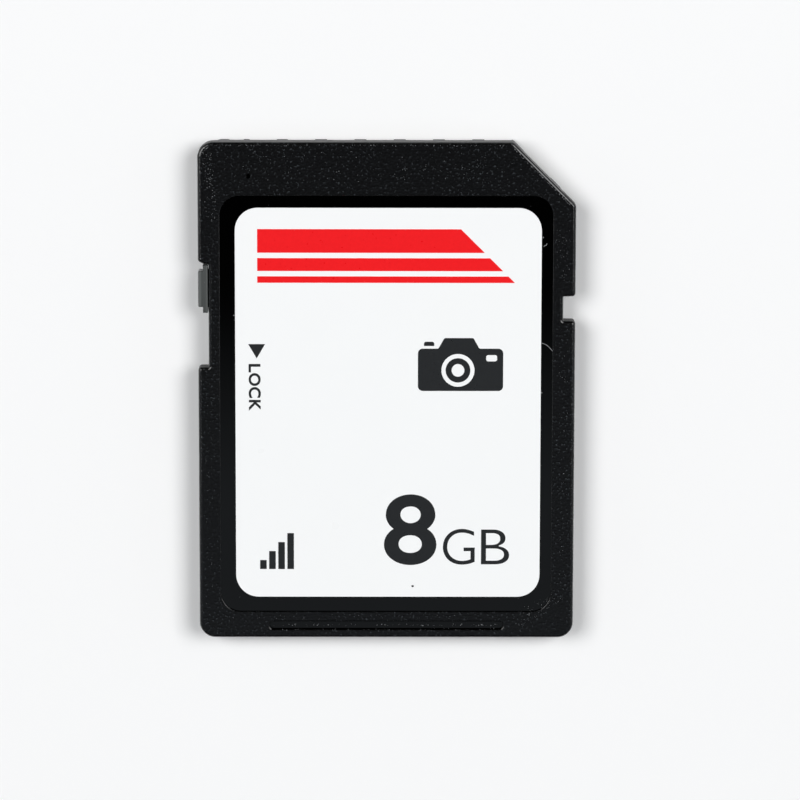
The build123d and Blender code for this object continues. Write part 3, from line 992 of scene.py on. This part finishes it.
def dark_room(studio):
    """A room with pale walls, dark overhead and dim in front, where the polished recess mirrors it."""
    world = bpy.data.worlds.new("dark_room")
    world.use_nodes = True
    tree = world.node_tree
    way = add(tree, "ShaderNodeTexCoord").outputs["Generated"]
    edge = studio.ceiling_edge
    ahead = add(
        tree,
        "ShaderNodeVectorMath",
        {"operation": "DOT_PRODUCT"},
        {0: way, 1: (0, -math.cos(edge), -math.sin(edge))},
    )
    softness = math.sin(studio.ceiling_fade)
    overhead = add(
        tree,
        "ShaderNodeMapRange",
        inputs={
            "Value": ahead.outputs["Value"],
            "From Min": -softness,
            "From Max": softness,
            "To Min": studio.ceiling,
            "To Max": studio.front_fill,
        },
    )
    sill = add(
        tree,
        "ShaderNodeVectorMath",
        {"operation": "DOT_PRODUCT"},
        {0: way, 1: (0, math.cos(studio.window_sill), math.sin(studio.window_sill))},
    )
    above_sill = add(
        tree,
        "ShaderNodeMapRange",
        inputs={"Value": sill.outputs["Value"], "From Min": -SILL_FADE, "From Max": SILL_FADE},
    )
    window = add(
        tree, "ShaderNodeMath", {"operation": "MULTIPLY"}, {0: overhead.outputs[0], 1: above_sill.outputs[0]}
    )
    axes = add(tree, "ShaderNodeSeparateXYZ", inputs={0: way})
    walls = add(
        tree,
        "ShaderNodeMapRange",
        {"interpolation_type": "SMOOTHSTEP"},
        {
            "Value": axes.outputs["Z"],
            "From Min": math.cos(studio.wall_top + studio.wall_fade),
            "From Max": math.cos(studio.wall_top - studio.wall_fade),
            "To Min": studio.walls,
            "To Max": 0.0,
        },
    )
    # Only the walls to both sides are pale, so edges that face the card's two ends stay dark
    endways = add(tree, "ShaderNodeMath", {"operation": "ABSOLUTE"}, {0: axes.outputs["Y"]})
    beside = add(
        tree,
        "ShaderNodeMapRange",
        inputs={
            "Value": endways.outputs[0],
            "From Min": WALL_ENDS[0],
            "From Max": WALL_ENDS[1],
            "To Min": 1.0,
            "To Max": 0.0,
        },
    )
    lit_walls = add(
        tree, "ShaderNodeMath", {"operation": "MULTIPLY"}, {0: walls.outputs[0], 1: beside.outputs[0]}
    )
    around = add(
        tree, "ShaderNodeMath", {"operation": "MAXIMUM"}, {0: window.outputs[0], 1: lit_walls.outputs[0]}
    )
    below = add(tree, "ShaderNodeMath", {"operation": "LESS_THAN"}, {0: axes.outputs["Z"], 1: 0.0})
    level = add(
        tree,
        "ShaderNodeMapRange",
        inputs={"Value": below.outputs[0], "To Min": around.outputs[0], "To Max": studio.under_light},
    )
    connect(tree, tree.nodes["Background"], {"Color": studio.room, "Strength": level.outputs[0]})
    bpy.context.scene.world = world


def place_camera(studio):
    """The photograph's view: almost straight down, from slightly over the leading edge."""
    x, y = SEEN_MIDDLE
    seen_middle = Vector((x * MM, y * MM, card_top))
    lens = bpy.data.cameras.new("camera")
    lens.lens = studio.lens
    lens.clip_start = 0.01
    facing = (
        Matrix.Rotation(studio.turn, 4, "Y")
        @ Matrix.Rotation(-studio.tilt, 4, "X")
        @ Matrix.Rotation(studio.roll, 4, "Z")
    )
    camera = bpy.data.objects.new("camera", lens)
    back = facing.to_3x3() @ Vector((0, 0, 1))
    camera.matrix_world = Matrix.Translation(seen_middle + back * studio.distance) @ facing
    bpy.context.scene.collection.objects.link(camera)
    bpy.context.scene.camera = camera


class FinishShells(bpy.types.Operator):
    """Gives both shells their grained plastic and the recess its polish"""

    bl_idname = "memory_card.finish_shells"
    bl_label = "Finish the shells"

    def execute(self, context):
        dress(spark_eroded_abs(context.scene.card_shell), "top_cover", "bottom_cover")
        return {"FINISHED"}


class FinishLock(bpy.types.Operator):
    """Gives the write-lock slider its grey plastic"""

    bl_idname = "memory_card.finish_lock"
    bl_label = "Finish the lock slider"

    def execute(self, context):
        dress(moulded_acetal(context.scene.card_lock), "lock_slider")
        return {"FINISHED"}


class PrintLabel(bpy.types.Operator):
    """Gives the label its film, and prints the band, signs, number and switch word on it"""

    bl_idname = "memory_card.print_label"
    bl_label = "Print the label"

    def execute(self, context):
        label = context.scene.card_label
        dress(laminated_film(label), "front_label")
        band = screen_ink("screen_ink_band", label.band)
        dark = screen_ink("screen_ink_dark", label.ink)
        for name, outlines, ink in (
            ("print_band", band_outlines(), band),
            ("print_camera_sign", pictogram_outlines(), dark),
            ("print_steps", steps_outlines(), dark),
            ("print_arrow", arrow_outlines(), dark),
        ):
            lay_print(name, shape(name, outlines), ink, label.ink_height)
        downward = -math.pi / 2
        for word, text, weight, boxes, turn in (
            ("print_number", label.number, NUMBER_WEIGHT, NUMBER_BOXES, 0.0),
            ("print_unit", label.unit, UNIT_WEIGHT, UNIT_BOXES, 0.0),
            ("print_switch_word", label.switch_word, SWITCH_WORD_WEIGHT, SWITCH_WORD_BOXES, downward),
        ):
            for letter, box in zip(text, boxes, strict=True):
                name = f"{word}_{letter}"
                lay_print(name, words(name, letter, weight), dark, label.ink_height, box, turn)
        return {"FINISHED"}


class FinishBoard(bpy.types.Operator):
    """Gives the board, its contacts and everything soldered to it their finishes"""

    bl_idname = "memory_card.finish_board"
    bl_label = "Finish the board"

    def execute(self, context):
        board = context.scene.card_board
        dress(lacquered_laminate(board), "circuit_board")
        dress(hard_gold_plate(board), *(f"contact_{number}" for number in range(1, 10)))
        dress(moulded_epoxy(board), "flash_chip", "controller_chip")
        dress(tinned_copper(board), "flash_leads", "controller_pads")
        for kind, body in (("capacitor", board.capacitor), ("resistor", board.resistor)):
            ceramic = fired_ceramic(f"fired_{kind}_ceramic", body, board)
            dress(ceramic, *(f"{kind}_{number}" for number in range(1, 5)))
        return {"FINISHED"}


class ScatterDustAndGlints(bpy.types.Operator):
    """Scatters dust, crumbs and fibres over the label side, where the photograph shows them, and pale grains
    that paint highlights along edges and over the grain
    """

    bl_idname = "memory_card.scatter_dust"
    bl_label = "Scatter the dust"

    def execute(self, context):
        settings = context.scene.card_dust
        pale = chalky_grains("chalky_grains", settings.dust_and_glints, settings)
        dark = chalky_grains("dried_dirt", settings.crumb, settings)
        dice = random.Random(settings.seed)
        grains = bmesh.new()
        # Grains along the stretches are partly dust and partly painted highlights
        for start, end, stray, count, largest in DUST_AND_GLINT_STRETCHES:
            for _ in range(count):
                middle = Vector(start).lerp(Vector(end), dice.random())
                x = middle.x + dice.uniform(-stray, stray)
                y = middle.y + dice.uniform(-stray, stray)
                # Small grains are by far the most common
                size = SMALLEST_GRAIN + (largest - SMALLEST_GRAIN) * dice.random() ** 2
                landed = landing(x, y)
                if landed:
                    add_grain(grains, *landed, size * MM, dice)
        # This piece holds the dust and the grains that paint highlights
        piece_of("dust_and_glints", grains, pale)
        for name, places, dirt in (("pale_crumbs", PALE_CRUMBS, pale), ("dark_crumb", DARK_CRUMBS, dark)):
            crumbs = bmesh.new()
            for x, y, size in places:
                add_grain(crumbs, *landing(x, y), size * MM, dice)
            piece_of(name, crumbs, dirt)
        for number, places in enumerate(FIBRES, 1):
            lay_fibre(f"fibre_{number}", places, pale)
        return {"FINISHED"}


class SetStudio(bpy.types.Operator):
    """Lays the floor and sets up the lights, the room and the camera"""

    bl_idname = "memory_card.set_studio"
    bl_label = "Set up the studio"

    def execute(self, context):
        studio = context.scene.card_studio
        floor = link("floor", cove_mesh(studio), matt_card(studio))
        floor.location.z = -FLOOR_GAP
        for name, side in (("soft_light_left", -1), ("soft_light_right", 1)):
            soft_light(name, studio, side)
        dark_room(studio)
        place_camera(studio)
        context.scene.view_settings.view_transform = "Standard"
        return {"FINISHED"}


class CardPanel(bpy.types.Panel):
    """Lists the steps that dress the card, each with its settings"""

    bl_idname = "VIEW3D_PT_memory_card"
    bl_label = "Memory card"
    bl_space_type = "VIEW_3D"
    bl_region_type = "UI"
    bl_category = "Card"

    def draw(self, context):
        for step, group in STEPS:
            box = self.layout.box()
            box.operator(step.bl_idname)
            settings = getattr(context.scene, group)
            for key in settings.__annotations__:
                box.prop(settings, key)


GROUPS = {
    "card_shell": ShellFinish,
    "card_lock": LockFinish,
    "card_label": LabelPrint,
    "card_board": BoardFinish,
    "card_dust": DustAndGlintSettings,
    "card_studio": StudioSettings,
}
STEPS = (
    (FinishShells, "card_shell"),
    (FinishLock, "card_lock"),
    (PrintLabel, "card_label"),
    (FinishBoard, "card_board"),
    (ScatterDustAndGlints, "card_dust"),
    (SetStudio, "card_studio"),
)


def register():
    """Registers the settings, the steps and the panel."""
    for name, group in GROUPS.items():
        bpy.utils.register_class(group)
        setattr(bpy.types.Scene, name, PointerProperty(type=group))
    for step, _ in STEPS:
        bpy.utils.register_class(step)
    bpy.utils.register_class(CardPanel)


def unregister():
    """Takes back what register did."""
    bpy.utils.unregister_class(CardPanel)
    for step, _ in reversed(STEPS):
        bpy.utils.unregister_class(step)
    for name, group in reversed(GROUPS.items()):
        delattr(bpy.types.Scene, name)
        bpy.utils.unregister_class(group)


def main():
    """Dresses the card step by step."""
    register()
    bpy.ops.memory_card.finish_shells()
    bpy.ops.memory_card.finish_lock()
    bpy.ops.memory_card.print_label()
    bpy.ops.memory_card.finish_board()
    bpy.ops.memory_card.scatter_dust()
    bpy.ops.memory_card.set_studio()


if __name__ == "__main__":
    main()
